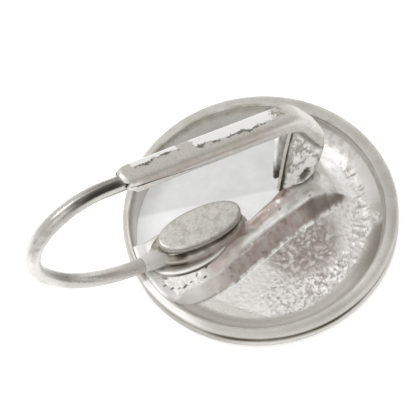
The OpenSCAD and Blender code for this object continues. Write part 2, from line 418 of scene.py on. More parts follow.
button_silver = silver(
    "button_silver", base=(0.70, 0.682, 0.652), dark=(0.20, 0.17, 0.14), roughness=0.47,
    scratches=0.24, bump=0.22, tarnish=0.45, reach=0.5, dress=dress_button)
# the wire's near black tone is that of its painted dark reflection
wire_silver = silver(
    "wire_silver", base=(0.55, 0.535, 0.51), dark=(0.25, 0.22, 0.19), roughness=0.27,
    scratches=0.35, bump=0.14, tarnish=0.4, reach=0.3,
    dress=blotted(0.2, (0.38, 0.35, 0.30), (0.08, 0.074, 0.066)))
tag_silver = silver(
    "tag_silver", base=(0.60, 0.58, 0.55), dark=(0.13, 0.10, 0.06), roughness=0.45,
    scratches=0.5, bump=0.22, tarnish=0.95, reach=0.5,
    dress=blotted(0.55, (0.36, 0.335, 0.285), PATINA_AND_SHADE_TONE))
lever_silver = silver(
    "lever_silver", base=(0.715, 0.697, 0.667), dark=(0.20, 0.17, 0.15), roughness=0.46,
    scratches=0.45, bump=0.25, tarnish=0.45, reach=0.4, dress=dress_lever)


# Button: the rolled rim

def make_rim():
    # radius, height, and how far the circle is shifted to the hollow's centre
    profile = [(8.06, 0.02, 1), (8.3, 0, 1), (8.5, 0, 0)]
    profile += [(r, z, 0) for r, z in arc(8.5, 0.5, 0.5, -75, 0, 8) + [
        (9, 0.8), (9, 1.09), (8.985, 1.125), (8.93, 1.15), (8.90, 1.165), (8.90, 1.225),
        (8.93, 1.245), (8.975, 1.27), (8.98, 1.32), (8.985, 1.5)]]
    for k in range(1, 17):
        turn = math.radians(90 * k / 16)
        inwards = 1 - math.cos(turn)
        profile.append((8.985 - 0.66 * inwards, 1.5 + 0.6 * math.sin(turn) ** 0.75, inwards))
    profile += [(r, z, 1) for r, z in (
        (8.30, 2.085), (8.28, 2.05), (8.265, 2), (8.25, 1.97), (8.215, 1.95), (8.195, 1.92),
        (8.185, 1.86), (8.16, 1.7), (8.11, 1.5), (8.07, 1.38), (8.05, 1.25), (8.05, 0.7))]
    turns = full_turn(320)
    verts = []
    for r, z, shift in profile:
        for a in turns:
            # the lip isn't perfectly even
            ripple = 0.012 * math.sin(3 * a + 0.7) + 0.008 * math.sin(7 * a) if z > 1.9 else 0
            verts.append((r * math.cos(a) + HOLLOW[0] * shift, r * math.sin(a) + HOLLOW[1] * shift,
                          z + ripple * (z - 1.9) * 4))
    rim = mesh_object("ring", verts, grid_faces(len(profile), len(turns), True, True, True), 50)

    # where a point lies: 0 is at +x, and the angle falls to -pi through the near side
    x, y, z = np.array(verts).T
    angle = np.arctan2(y, x)
    hollow_r = np.hypot(x - HOLLOW[0], y - HOLLOW[1])
    outside = smooth(8.7, 8.85, np.hypot(x, y))
    inside = smooth(8.29, 8.22, hollow_r)
    lip = smooth(1.45, 1.7, z)
    step = smooth(8.42, 8.33, hollow_r) * smooth(1.9, 1.94, z)
    merged = smooth(-0.9, -1.3, angle)
    left = smooth(-2.45, -2.75, angle)
    worst = near(angle, -1.95, 0.4, 0.8)
    grime = value_noise(angle * 6, z * 3, 12)

    # the seam is dark and wide where it is worst, and elsewhere a fine line with a painted highlight
    seam = near(z, SEAM_Z, 0.05 + 0.05 * worst, 0.12 + 0.06 * worst) * outside
    seam = seam * unit(0.2 + 0.2 * grime + 0.75 * worst) * (1 - 0.8 * left)
    faint_seam = near(z, SEAM_Z, 0.05, 0.12) * outside * (1 - worst)
    # painted shade in the crease between the lip and the wall, on the right
    rim_crease_shade = smooth(8.35, 8.31, hollow_r) * smooth(1.98, 2.03, z)
    rim_crease_shade = rim_crease_shade * span(angle, -1.1, -0.7, 0.25, 0.45) * unit(0.5 + 0.6 * grime)

    # painted shade on the rim's outer side, on the lip at the near side and the right, and in the step inside
    # the lip
    low_band = outside * smooth(1.95, 1.3, z) * (0.75 + 0.2 * grime)
    low_band = low_band * (1 - 0.75 * smooth(1.25, 1.08, z) * smooth(-2.5, -2.2, angle))
    lip_shade = lip * most(0.5 * near(angle, -2.05, 0.4, 0.75), 0.2 * near(angle, -0.3, 0.35, 0.75))
    step_shade = step * (0.6 + 0.25 * grime) * (1 - 0.9 * merged)

    warm = 0.19 + 0.06 * near(angle, -2, 0.5, 1) + 0.18 * fractal(angle * 14, z * 4, 1, 16, 3)
    far_wall = smooth(8.28, 8.2, hollow_r) * smooth(0.3, 0.6, angle) * smooth(1.55, 1.8, z)
    far_grime = far_wall * unit(0.45 + 0.5 * value_noise(angle * 40, z * 5, 14))
    streak = smooth(8.58, 8.42, hollow_r) * span(angle, 0, 0.4, 2.4, 2.9)
    broken = 0.25 + 1.1 * fractal(angle * 9, hollow_r * 3, 1, 183, 3)
    streak = streak * smooth(1.9, 2, z) * np.clip(broken, 0, 0.75)

    # painted light on the lip and its inner side at the lower left
    paint(rim,
          tarnish=most(0.95 * seam, 0.6 * rim_crease_shade),
          shade=most(low_band, step_shade, lip_shade),
          frost=most(lip * (0.5 + 0.3 * merged + 0.2 * left), inside * (0.45 + 0.5 * left),
                     0.95 * faint_seam, 0.9 * step),
          bright=most(0.95 * lip * left, 0.95 * inside * left, 0.6 * faint_seam, 0.35 * step * merged),
          olive=unit(most(lip * warm * (1 - 0.6 * merged), far_grime, streak)))
    return rim


# Button: the back, a height map from the near wall to the see-through half

# lines in x and y: the see-through half's edge, and both edges of the bar's side, with its stain and painted
# reflection
EDGE = [(-8.6, 2.62), (-7.6, 2.5), (-6.4, 2.55), (-5, 2.4), (-3.8, 2.05), (-2.7, 1.45), (-1.8, 0.6),
        (-0.93, -0.15), (0.16, 0.1), (1.16, 0.28), (2.01, 0.55), (2.6, 0.95), (3.1, 1.65), (3.7, 2.6),
        (4.6, 4), (6.4, 6.6)]
CROWN = [(-8.6, -2.2), (-7.77, -2.2), (-6.2, -2.35), (-4.66, -2.3), (-2.02, -1.83), (0.49, -1.49),
         (2.04, -1.43), (3.25, -1.32), (4.15, -1.5), (4.82, -1.9), (5.6, -2.3)]
FOOT = [(-8.6, -2.5), (-7.43, -2.6), (-6.06, -2.9), (-4.2, -3), (-2.32, -2.8), (0.57, -2.38),
        (1.78, -2.31), (3.06, -2.3), (5.06, -2.2), (5.8, -2.3)]
EDGE_END = EDGE[-1][0]
FLOOR_Z, FLOOR_R, WALL_R, WALL_TOP = 0.7, 6.75, 8.19, 1.90
BAR_FOOT_Z, CROWN_Z = 0.68, 1.60
COLS, ROWS = 320, 240


def circle_y(x, sign):
    """The hollow's round edge at x: far half for +1, near half for -1."""
    return HOLLOW[1] + sign * np.sqrt(np.maximum(HOLLOW_R * HOLLOW_R - (x - HOLLOW[0]) ** 2, 0))


def grain(scale, seed, octaves):
    """Noise over the back."""
    return fractal(X, Y, scale, seed, octaves)


xs = HOLLOW[0] + HOLLOW_R * 0.9995 * np.sin(np.linspace(-math.pi / 2, math.pi / 2, COLS))
y_low, y_wall = circle_y(xs, -1), circle_y(xs, 1)
y_high = np.minimum(y_wall, np.where(xs < EDGE_END, along_line(EDGE, xs), 99))
t = np.linspace(0, 1, ROWS)
t = t - 0.08 * np.sin(2 * math.pi * t) / (2 * math.pi)
X = np.repeat(xs[:, None], ROWS, 1)
Y = y_low[:, None] + (y_high - y_low)[:, None] * t[None, :]
R = np.hypot(X - HOLLOW[0], Y - HOLLOW[1])
angle = np.arctan2(Y - HOLLOW[1], X - HOLLOW[0])

# the wall rises to the lip, and runs softly into it at the lower left
rise = np.clip((R - FLOOR_R) / (WALL_R - FLOOR_R), 0, 1)
soft_side = smooth(-0.9, -1.3, angle)
wall = FLOOR_Z + (WALL_TOP + 0.14 * soft_side - FLOOR_Z) * (
    (1 - 0.5 * soft_side) * (1 - np.sqrt(1 - rise ** 2)) + 0.5 * soft_side * rise ** 2)

# the cast floor: wrinkles in the dark middle, teeth towards the wall at the right
warp_x = X + 0.22 * grain(1.3, 5, 2)
warp_y = Y + 0.22 * grain(1.3, 9, 2)
wrinkle = 1 - np.abs(fractal(warp_x, warp_y, 2.9, 3, 3)) * 3.2
sway = 1.6 * grain(0.9, 33, 2)
teeth = 1 - np.abs(value_noise(angle * 40 + sway, R * 0.9, 31) * 0.65
                   + value_noise(angle * 75 + sway, R * 1.6, 37) * 0.35) * 3.2
dark_zone = smooth(3, 1.2, np.hypot((X - 1.1) * 0.9, Y + 3.2))
toothed = smooth(5.7, 6.4, R) * smooth(2, 3.5, X) * smooth(7.7, 7.2, R) * smooth(1.5, -1, Y)
pitted = span(X, -4.3, -2.4, 0.2, 1.6) * smooth(-3.4, -4.6, Y)
granular = span(X, -0.6, 0.4, 2.4, 3.6) * smooth(-3.9, -4.9, Y)
busy = unit(np.maximum(dark_zone, granular) + 0.5 * toothed)
relief = (0.034 * wrinkle * (0.2 + 0.8 * busy) + 0.022 * grain(5.2, 21, 3) * (0.4 + 0.6 * busy)
          + 0.012 * teeth * toothed - 0.01)
rough_reach = 6.95 + 0.35 * smooth(2.5, 5, X) - 0.9 * smooth(-3.4, -5.2, X) + 0.22 * grain(0.8, 40, 2)
cast = smooth(rough_reach + 0.12, rough_reach - 0.12, R + 0.2 * teeth * toothed)

# a painted highlight in a broken band beyond the bar's end, the uneven wall at the right, and a golden place
band_x = np.interp(Y, [-2.4, -1.6, -0.3, 1.4], [5.5, 5.6, 5.9, 6.25])
highlight_band = near(X, band_x, 0.42, 0.7) * span(Y, -2.7, -2.1, 1.6, 2.4)
far_right = span(angle, -0.35, 0.1, 1.4, 2.4)
golden = spot(X, Y, (6.1, -4.6), (0.75, 0.8), 0.1, 1.1) * (1 - cast)
floor_z = wall + relief * cast + 0.035 * highlight_band * grain(3.4, 191, 3)
floor_z = floor_z + 0.03 * far_right * (1 - cast) * smooth(8.1, 7.7, R) * grain(3.2, 187, 3)
floor_z = floor_z + 0.035 * golden * grain(7, 171, 3)

# the bar: a steep side up to the crown, and long soft ridges on the crown
crown_y = along_line(CROWN, X) + 0.05 * fractal(X, Y * 0, 1.2, 50, 2)
foot_y = along_line(FOOT, X) + 0.05 * fractal(X, Y * 0, 1.4, 53, 2)
past_crown = Y - crown_y
slope = unit((Y - foot_y) / np.maximum(crown_y - foot_y, 0.08))
side_z = BAR_FOOT_Z + (CROWN_Z - BAR_FOOT_Z) * slope ** 0.85
run = past_crown / np.maximum(along_line(EDGE, X) - crown_y, 0.5)
middle = span(X, -3.6, -1.6, 3.6, 5)
crown_z = CROWN_Z + 0.15 * (1 - np.exp(-np.clip(past_crown, 0, 9) / 0.22))
crown_z = crown_z + middle * (0.085 * np.sin(run * 9.0 + 0.35 * X) - 0.03 - 0.05 * smooth(0.62, 1, run))
crown_z = crown_z + 0.018 * fractal(X, Y * 3, 0.9, 61, 3) + 0.04 * smooth(3.2, 4.2, X) * grain(3.6, 185, 3)
bar_z = np.where(past_crown < 0, side_z, crown_z)
bar_z = bar_z + 0.3 * smooth(7.5, 8.15, R) * smooth(-4.6, -5.8, X) * smooth(0, 0.5, past_crown)
bar_end = 4.98 + 0.2 * fractal(X * 0.5, Y, 1.3, 70, 3)
bar_z = bar_z - (bar_z - BAR_FOOT_Z) * smooth(bar_end - 0.3, bar_end + 0.8, X)
Z = np.maximum(floor_z, bar_z)
on_bar = smooth(-0.05, 0.05, bar_z - floor_z)

# dark pits that follow the pad's foot across the plateau: x, y and radius
PITS = [(-7.98, -0.94, 0.12), (-7.69, -1.37, 0.13), (-6.9, -1.72, 0.14), (-6.45, -1.68, 0.10),
        (-5.53, -1.9, 0.13), (-5.85, -1.45, 0.13), (-5.05, -1.3, 0.14), (-7.3, -1.62, 0.08),
        (-6.1, -2, 0.06), (3.3, -1, 0.07), (1.2, -0.6, 0.07)]
pit = np.zeros_like(Z)
for px, py, pr in PITS:
    tilt = math.atan2(-py - 2.2, 4.5 + px) if px < -4 else 0.2
    u = (X - px) * math.cos(tilt) + (Y - py) * math.sin(tilt)
    v = (Y - py) * math.cos(tilt) - (X - px) * math.sin(tilt)
    pit = most(pit, smooth(pr, pr * 0.35, np.hypot(u * 0.62, v * 2.2) + 0.05 * grain(4, 80, 2)))
Z = Z - 0.08 * pit

# the see-through edge is rounded
edge_gap = np.where(X < EDGE_END, along_line(EDGE, X) - Y, 9)
Z = Z - 0.14 * unit(1 - edge_gap / 0.16) ** 2 * (y_high < y_wall - 0.01)[:, None]

top = np.stack([X, Y, Z], -1).reshape(-1, 3)
under = np.stack([X, Y, np.zeros_like(Z)], -1)[:, [0, -1], :].reshape(-1, 3)
faces = grid_faces(COLS, ROWS, flip=True)
for i in range(COLS - 1):
    low, low_next = len(top) + 2 * i, len(top) + 2 * (i + 1)
    faces.append((i * ROWS, (i + 1) * ROWS, low_next, low))
    faces.append(((i + 1) * ROWS - 1, low + 1, low_next + 1, (i + 2) * ROWS - 1))
    faces.append((low, low_next, low_next + 1, low + 1))
back = mesh_object("back", np.concatenate([top, under]), faces, 55)

# Masks of the back: tones that several of them share
mottle = 0.5 + 0.5 * grain(2.2, 95, 3)
gritty = grain(4.2, 97, 3)
speckle = grain(5.5, 90, 2)
cast_here = cast * (1 - on_bar)
bare = (1 - on_bar) * (1 - cast)

# dark cavities between the floor's grains
streaks = smooth(-0.1, 0.3, fractal(warp_x, warp_y, 1.5, 44, 3))
dots = value_noise(X * 8.2, Y * 6.8, 151)
dense = unit(0.75 * pitted + granular)
strokes = (0.65 * value_noise(X * 8.5 + 0.6 * warp_y, Y * 5.6, 157)
           + 0.35 * value_noise(X * 11, Y * 9, 163))
right_half = smooth(1.6, 2.6, X) * span(Y, -6.6, -5.6, -2.2, -1.4)
cavity = unit(most(
    smooth(0.02, -0.012, relief) * np.maximum(0.15, dark_zone) + dark_zone * (0.9 + 0.35 * streaks),
    pitted * smooth(0.22, 0.48, dots),
    0.85 * dense * smooth(0.12, 0.36, strokes + 0.1 * dense),
    0.6 * right_half * smooth(0.2, 0.42, strokes),
    0.75 * toothed * smooth(0.25, -0.2, teeth))) * cast_here

# the bar's side: pinkish stain and painted reflection, darker towards its end
side_face = smooth(0.02, 0.2, slope) * smooth(0.12, -0.03, past_crown) * on_bar * smooth(5.6, 5, X)
side_stain = side_face * (0.32 + 0.4 * mottle + 0.4 * gritty) * (0.4 + 0.6 * smooth(-6, -3.6, X))
side_stain = side_stain * (1 - 0.8 * smooth(-5.8, -6.8, X))
side_spots = side_face * smooth(0.32, 0.5, gritty) * smooth(-5.5, -4, X)
# painted light on the left end of the side
left_side = side_face * smooth(-3.4, -5.2, X) * np.clip(0.8 + 0.9 * gritty + smooth(-5.4, -6.6, X), 0.3, 1)
end_of_side = span(X, 2, 3, 5, 5.35)
dark_side_zone = end_of_side * smooth(0.15, 0.35, slope) * smooth(0.15, 0, past_crown)
dark_side_end = end_of_side * smooth(0.1, 0.35, slope) * smooth(0.18, 0, past_crown) * (0.6 + 0.4 * mottle)
# painted highlights: whitish specks and a broken line along the bar's foot
foot_specks = near(Y, foot_y + 0.05, 0.05, 0.16) * smooth(-0.1, 0.2, speckle) * span(X, -6, -5, 4.6, 5.2)
foot_line = near(Y, foot_y + 0.03, 0.05, 0.14) * smooth(-0.45, 0.15, speckle) * span(X, -5.6, -4.6, 4.6, 5.2)

# the crown, streaked along its length, with painted highlights on a ridge and on light streaks, painted light
# near its end and small painted glints
on_crown = smooth(0, 0.25, past_crown) * span(X, -5.2, -3.6, 3.4, 4.6) * on_bar
streak = fractal(X * 0.35 + 0.06 * grain(2, 66, 2), run * 7, 1, 131, 3)
warm_crown = span(run, 0.35, 0.55, 0.9, 1.05) * span(X, -2.4, -1.4, 2.8, 3.6)
opening_lip = smooth(0.5, 0.1, edge_gap) * span(X, -0.6, 0.4, 2.4, 3.3)
ridge_y = np.interp(X, [-4.3, -2.3, 0.2, 2.9], [-1.72, -1.38, -1.2, -1.05])
ridge_highlight = near(Y, ridge_y, 0.04, 0.2) * span(X, -4.4, -3.6, 2.6, 3.8) * (0.5 + 0.5 * mottle)
end_light = most(spot(X, Y, (4.75, -0.75), (0.85, 0.85), 0.4), 0.8 * spot(X, Y, (3.8, -0.4), (0.75, 0.6), 0.3))
end_light = end_light * smooth(0, 0.25, past_crown) * (0.6 + 0.4 * smooth(-0.25, 0.1, speckle))
# darker and reddish at the foot of the lever's leg
leg_foot_dark = spot(X, Y, (1.8, 0.15), (1, 0.42), 0.35) * on_bar
GLINTS = [(1.36, -0.15, 0.17), (1.1, -0.32, 0.08), (3.26, -1.5, 0.07), (0.52, -0.3, 0.07),
          (-1.75, -1.64, 0.08)]
glints = most(*(smooth(r, r * 0.6, np.hypot(X - x, Y - y) + 0.04 * speckle) for x, y, r in GLINTS))

# the plateau at the bar's left end, lightened with painted light, most near the rim
left_stain = span(X, -5.6, -4.6, -2.6, -1.4) * span(past_crown, 0.1, 0.3, 0.9, 1.5)
side_rust = spot(X, Y, (-7.85, -0.45), (0.55, 0.5), 0.4) * smooth(-0.15, 0.2, gritty) * on_bar
plateau = smooth(-4.6, -6, X) * smooth(0.1, 0.35, past_crown) * on_bar
plateau_dust = 0.3 * plateau * smooth(0.05, 0.35, speckle) * smooth(7.7, 7.4, R)
plateau_rim = smooth(7.4, 7.7, R) * smooth(-4.6, -5.8, X) * smooth(-0.12, 0.02, past_crown) * on_bar

# the smooth wall, with painted shade below the bar's end and painted light at the lower left and the right
wall_part = smooth(6.9, 7.6, R) * bare
dark_wall = span(angle, -1.35, -0.9, -0.8, -0.38)
low_left = span(angle, -3.1, -2.7, -1.4, -0.95)
right_wall = smooth(-0.6, -0.3, angle)
wall_light = wall_part * (1 - dark_wall)
wall_shade = wall_part * (1 - 0.8 * golden) * (
    (0.08 + 0.1 * smooth(7.5, 7.8, R) * low_left) * (1 - dark_wall) + dark_wall)
right_shade = far_right * bare * smooth(0, 0.3, grain(2.4, 189, 3))
wall_olive = (0.26 * low_left + 0.38 * dark_wall * (0.7 + 0.6 * mottle)) * smooth(6.9, 7.3, R) * bare

# painted highlights, glints and painted light of the back, with some whitish frost
bright = (1 - dark_side_zone) * most(
    ridge_highlight, 0.6 * on_crown * smooth(-0.05, -0.35, streak), end_light, glints, foot_specks, foot_line,
    0.65 * plateau * (0.6 + 0.6 * mottle) * (1 - side_rust), plateau_rim,
    highlight_band * (0.7 + 0.3 * smooth(-0.25, 0.05, grain(3.4, 193, 3))))
bright = most(
    bright, left_side, 0.36 * wall_light * smooth(7.95, 7.5, R) * low_left,
    0.4 * wall_light * right_wall * (0.6 + 0.6 * mottle),
    golden * (0.45 + 0.55 * smooth(-0.05, 0.25, grain(8, 179, 2))))
stain = (1 - foot_specks) * (1 - 0.8 * foot_line) * (1 - glints) * most(
    side_stain, 0.5 * left_stain * (0.6 + 0.6 * mottle), 0.85 * on_crown * smooth(0, 0.3, streak),
    0.5 * warm_crown * (0.5 + 0.7 * mottle) * on_bar, 0.9 * opening_lip, 0.35 * side_rust,
    0.95 * leg_foot_dark * (0.6 + 0.6 * mottle))
frost = (1 - 0.7 * dark_side_zone) * most(
    0.5 * cast_here * (1 - smooth(-1.6, 0.2, Y)), 0.9 * highlight_band, 0.4 * plateau, 0.9 * plateau_rim,
    (0.55 + 0.4 * smooth(7.7, 7.3, R) * low_left + 0.35 * right_wall) * wall_light, golden,
    0.45 * side_face + 0.75 * left_side, 0.9 * foot_line, glints, 0.5 * end_light, 0.35 * on_crown)
back_masks = {
    "shade": most(0.3 * wall_shade, 0.35 * right_shade, plateau_dust, 0.9 * dark_side_end),
    "tarnish": most(0.42 * dark_side_end, 0.5 * side_rust * smooth(0.1, 0.35, speckle + 0.15),
                    0.45 * leg_foot_dark * smooth(0.1, 0.4, gritty + 0.2) * (1 - glints)),
    "cast": 0.8 * cast_here * (1 - 0.65 * smooth(-1.6, 0.2, Y)),
    "cavity": most(cavity * (1 - highlight_band) * (1 - foot_line), 0.6 * side_spots),
    "pit": pit,
    "stain": unit(stain),
    "bright": unit(bright),
    "polish": 0.3 * on_bar * (1 - side_face),
    "olive": most(0.3 * on_crown * smooth(-0.1, 0.35, fractal(X, Y * 1.5, 2.2, 195, 3)) * (1 - glints),
                  0.6 * golden * smooth(0, 0.25, grain(6, 177, 2)), wall_olive * (1 - 0.5 * golden)),
    "frost": np.clip(frost, 0, 1.1)}
paint(back, **{name: np.pad(mask.ravel(), (0, len(under))) for name, mask in back_masks.items()})


# Button: pad, collar and post

def oval_stack(name, centre, length, width, turn, levels, power=1):
    """A solid of ovals. Each level is a height and how far its oval is let out."""
    c, s = math.cos(math.radians(turn)), math.sin(math.radians(turn))
    rings = []
    for z, out in levels:
        ring = []
        for w in full_turn(160):
            cu, cv = math.cos(w), math.sin(w)
            u = (length / 2 + out) * math.copysign(abs(cu) ** power, cu)
            v = (width / 2 + out) * math.copysign(abs(cv) ** power, cv)
            ring.append((centre[0] + u * c - v * s, centre[1] + u * s + v * c, z))
        rings.append(ring)
    return ring_stack(name, rings, 35)


def make_pad():
    pad = oval_stack("pad", (-4.45, 0.62), 6.45, 3.05, -8, [
        (1.45, 0.3), (1.6, 0.22), (1.7, 0.12), (1.8, 0.04), (1.95, 0), (2.02, 0), (2.1, 0), (2.3, 0),
        (2.44, -0.015), (2.51, -0.05), (2.55, -0.12), (2.56, -0.25), (2.565, -0.5), (2.6, -0.55),
        (2.82, -0.55)])
    x, y, z = coordinates(pad).T
    cloud = fractal(x, y, 1.4, 150, 3)
    near_left = smooth(0.6, -0.2, y) * smooth(-3.2, -4.6, x)
    near_side = smooth(0.5, -0.1, y) * smooth(-3.6, -4.6, x)
    # tarnish with painted shade on the pad's top under the tag, and on its lower side at the near left
    dirt_and_shade = most(0.5 * smooth(-0.1, 0.3, cloud), near_side * np.clip(0.55 + 1.2 * cloud, 0, 0.95))
    paint(pad,
          olive=smooth(2.42, 2.54, z) * unit(0.62 + 0.6 * cloud),
          tarnish=most(smooth(2.45, 2.56, z) * dirt_and_shade,
                       0.85 * smooth(2.25, 2.05, z) * near_left * smooth(-0.35, 0.05, cloud)),
          stain=0.4 * smooth(2.5, 2.3, z))
    return pad


def make_pad_tier():
    """The lower tier that the pad stands on."""
    tier = oval_stack("pad_tier", (-5.2, 0.45), 5.76, 3.48, -6, [
        (1.4, 0.22), (1.6, 0.15), (1.72, 0.07), (1.8, 0), (1.88, -0.01), (1.94, -0.05), (1.965, -0.12),
        (1.95, -0.25), (1.91, -0.4), (1.9, -0.6)])
    x, y, z = coordinates(tier).T
    left = smooth(0.9, 0.1, y) * smooth(-3.6, -5, x) * smooth(0.5, 0.2, np.abs(x + 5.9) * 0.28)
    # painted shade at the tier's foot on the near left, and a painted highlight along its top edge
    paint(tier, tarnish=0.8 * smooth(1.94, 1.87, z) * left, bright=0.5 * smooth(1.9, 1.96, z))
    return tier


def heading(a):
    """The wire's direction in x and z: a is its slope, and it sets out towards -x."""
    return np.array([-math.cos(math.radians(a)), math.sin(math.radians(a))])


def to_centre(a):
    """The direction from the wire to its bend's centre, in x and z."""
    return np.array([math.sin(math.radians(a)), math.cos(math.radians(a))])


def tube(name, points, headings, radii, count):
    """A round bar along a path in the upright plane."""
    rings = []
    for p, a, r in zip(points, headings, radii):
        inner, ring = to_centre(a), []
        for w in full_turn(count):
            side = r * math.cos(w)
            ring.append((p[0] + inner[0] * side, PLANE + r * math.sin(w), p[1] + inner[1] * side))
        rings.append(ring)
    return ring_stack(name, rings, 50, flip=True)


def make_collar():
    # distance along the wire from its foot, and radius
    steps = [(-0.95, 0.61), (-0.5, 0.605), (-0.2, 0.595), (0, 0.58), (0.2, 0.555), (0.4, 0.53),
             (0.58, 0.512), (0.68, 0.503)]
    points = [WIRE_FOOT + s * heading(FOOT_SLOPE) for s, r in steps]
    collar = tube("collar", points, [FOOT_SLOPE] * len(steps), [r for s, r in steps], 48)
    paint(collar, frost=0.6, bright=0.18)
    return collar


def make_post():
    """The hinge's post: a plate with a round top and slightly bevelled faces."""
    radius = 0.78
    side = [(PIN_X - 1.03, 1.45), (PIN_X + radius, 1.45)] + arc(PIN_X, PIN_Z, radius, 0, 180, 24)
    rings = []
    for y, inset in ((-0.27, 0.05), (-0.22, 0), (0.22, 0), (0.27, 0.05)):
        k = 1 - inset / 0.9
        rings.append([(PIN_X + (x - PIN_X) * k, PLANE + y, PIN_Z + (z - PIN_Z) * k) for x, z in side])
    return ring_stack("post", rings, 35)


button = join("button_back", [make_rim(), back, make_pad(), make_pad_tier(), make_collar(), make_post()])
place(button, button_silver, "button", "button")


# Ear wire

def wire_path():
    """Points in x and z, and slopes, from inside the collar to the channel of the lever."""
    points = [WIRE_FOOT + s * heading(FOOT_SLOPE) for s in np.linspace(-0.75, 0.8, 16)[:-1]]
    slopes = [FOOT_SLOPE] * len(points)
    p, a0 = WIRE_FOOT + 0.8 * heading(FOOT_SLOPE), FOOT_SLOPE
    # each bend's radius, the slope at its end, and its number of points
    for r, a1, steps in ((10.5, 68.5, 60), (3.4, 153, 60), (4.7, 198.7, 40)):
        centre = p + r * to_centre(a0)
        for k in range(steps):
            a = a0 + (a1 - a0) * k / steps
            points.append(centre - r * to_centre(a))
            slopes.append(a)
        p, a0 = centre - r * to_centre(a1), a1
    for s in np.linspace(0, 3.2, 14):
        points.append(p + s * heading(a0))
        slopes.append(a0)
    return points, slopes


def make_ear_wire():
    count = 64
    points, slopes = wire_path()
    radii = [WIRE_R - 0.004 * (1 + math.sin(0.35 * k)) for k in range(len(points))]
    # the rounded tip
    end, a = points[-1], slopes[-1]
    for s, r in ((0.15, 0.475), (0.3, 0.40), (0.42, 0.27), (0.48, 0.1)):
        points.append(end + s * heading(a))
        slopes.append(a)
        radii.append(r)
    wire = tube("ear_wire_round", points, slopes, radii, count)

    x, y, z = coordinates(wire).T
    # the angle round the wire: 0 towards the bend's centre, -90 towards the near side
    inwards = np.tile(np.cos(full_turn(count)), len(points))
    around = np.degrees(np.arctan2(y - PLANE, 1e-6 + inwards * WIRE_R))
    dark_reflection_line = span(around, -176, -166, -130, -118)
    near_face = span(around, -178, -160, -112, -90)
    below_lever = smooth(-12.7, -11.2, x) * smooth(9, 10.5, z) * smooth(-8.4, -8.8, x)
    upper_bend = span(x, -15.5, -14.7, -11.6, -10.3) * smooth(7, 9, z)
    left_bend = smooth(-13.6, -14.8, x)
    foot = smooth(-12.2, -9.6, x) * smooth(7, 5.5, z)
    # a painted dark reflection along the wire below the lever, painted shade on the upper bend's near face,
    # painted light on the left bend and the foot, and a pinkish painted reflection at the foot
    paint(wire,
          tarnish=np.clip(dark_reflection_line * below_lever * (0.92 + 0.25 * fractal(x, y * 4, 1.8, 120, 3)), 0, 0.94),
          frost=most(0.75 * foot, 0.85 * upper_bend, 0.25 * left_bend),
          shade=near_face * upper_bend * unit(0.5 + 0.9 * fractal(x, z * 2, 2.4, 125, 3)),
          bright=most(0.1 * foot, 0.42 * left_bend),
          stain=0.4 * foot * unit(0.5 + 0.8 * fractal(x, y * 3, 1.6, 181, 3)))
    return wire


place(make_ear_wire(), wire_silver, "button", "ear_wire")


# Tag

def make_tag():
    tag = oval_stack("tag_plate", (-4.15, 0.6), 5.7, 2.5, -8, [
        (2.85, -0.08), (2.87, -0.03), (2.92, 0), (3.16, 0), (3.19, -0.015), (3.21, -0.06), (3.25, -0.06),
        (3.27, -0.01), (3.3, 0), (3.37, 0), (3.42, -0.015), (3.46, -0.05), (3.485, -0.1),
        (3.49, -0.18), (3.49, -0.4), (3.488, -0.7), (3.485, -1), (3.485, -1.2)], power=0.93)
    # a painted shade line in the groove round the tag's edge
    paint(tag, tarnish=0.8 * near(coordinates(tag)[:, 2], 3.23, 0.015, 0.035))
    return tag


place(make_tag(), tag_silver, "button", "tag")


# Lever

ARM_TOP = 6.36
ARM_BOTTOM = ARM_TOP - 1.2
NOSE = -15.0
HALF = 0.75  # half the arm's width
SHOULDER, FAR_EDGE = 0.42, 0.16  # rounding of its near and its far edge


def at_lever(along, across, above):
    """A point given in the closed lever's own directions, counted from the pin."""
    return (PIN_X + along * math.cos(LEAN) + above * math.sin(LEAN), PLANE + across,
            PIN_Z - along * math.sin(LEAN) + above * math.cos(LEAN))


def lever_outline():
    """Side view of arm, corner and tail: along, above, and the share of the edge rounding."""
    parts = [
        (0.25, [(NOSE + 1.05, ARM_BOTTOM), (NOSE + 0.62, ARM_BOTTOM + 0.28), (NOSE + 0.22, ARM_TOP - 0.72)]),
        (0.6, [(NOSE + 0.03, ARM_TOP - 0.48)]),
        (1, arc(NOSE + 0.5, ARM_TOP - 0.5, 0.5, 165, 90, 8)),
        (1, [(NOSE + 0.5 + 0.5 * k, ARM_TOP) for k in range(1, 22)]),
        (1, arc(-2.95, ARM_TOP - 2.1, 2.1, 88, 48, 14)),
        (1, [(-1.1, 5.46), (-0.65, 5.02), (-0.1, 4.5), (0.3, 4.1)]),
        (1, arc(-0.55, 2.55, 1.6, 40, 0, 12)),
        (1, [(1.1, 2.3)]),
        (0.95, [(1.12, 2.14), (1.02, 2.12)]),
        (0.65, [(0.7, 2.32)]),
        (0.25, [(0.35, 2.6), (0, 2.92), (-0.5, 3.5), (-0.9, 3.95), (-1.2, 4.3), (-1.5, 4.6),
                (-1.9, 4.85), (-2.4, 5.02), (-3.2, ARM_BOTTOM)]),
        (0.25, [(-3.7 - 0.5 * k, ARM_BOTTOM) for k in range(20)])]
    return np.array([(a, b, share) for share, points in parts for a, b in points])


def lever_prism(name, side, y0, y1):
    return ring_stack(name, [[at_lever(a, y, b) for a, b in side] for y in (y0, y1)], 35)


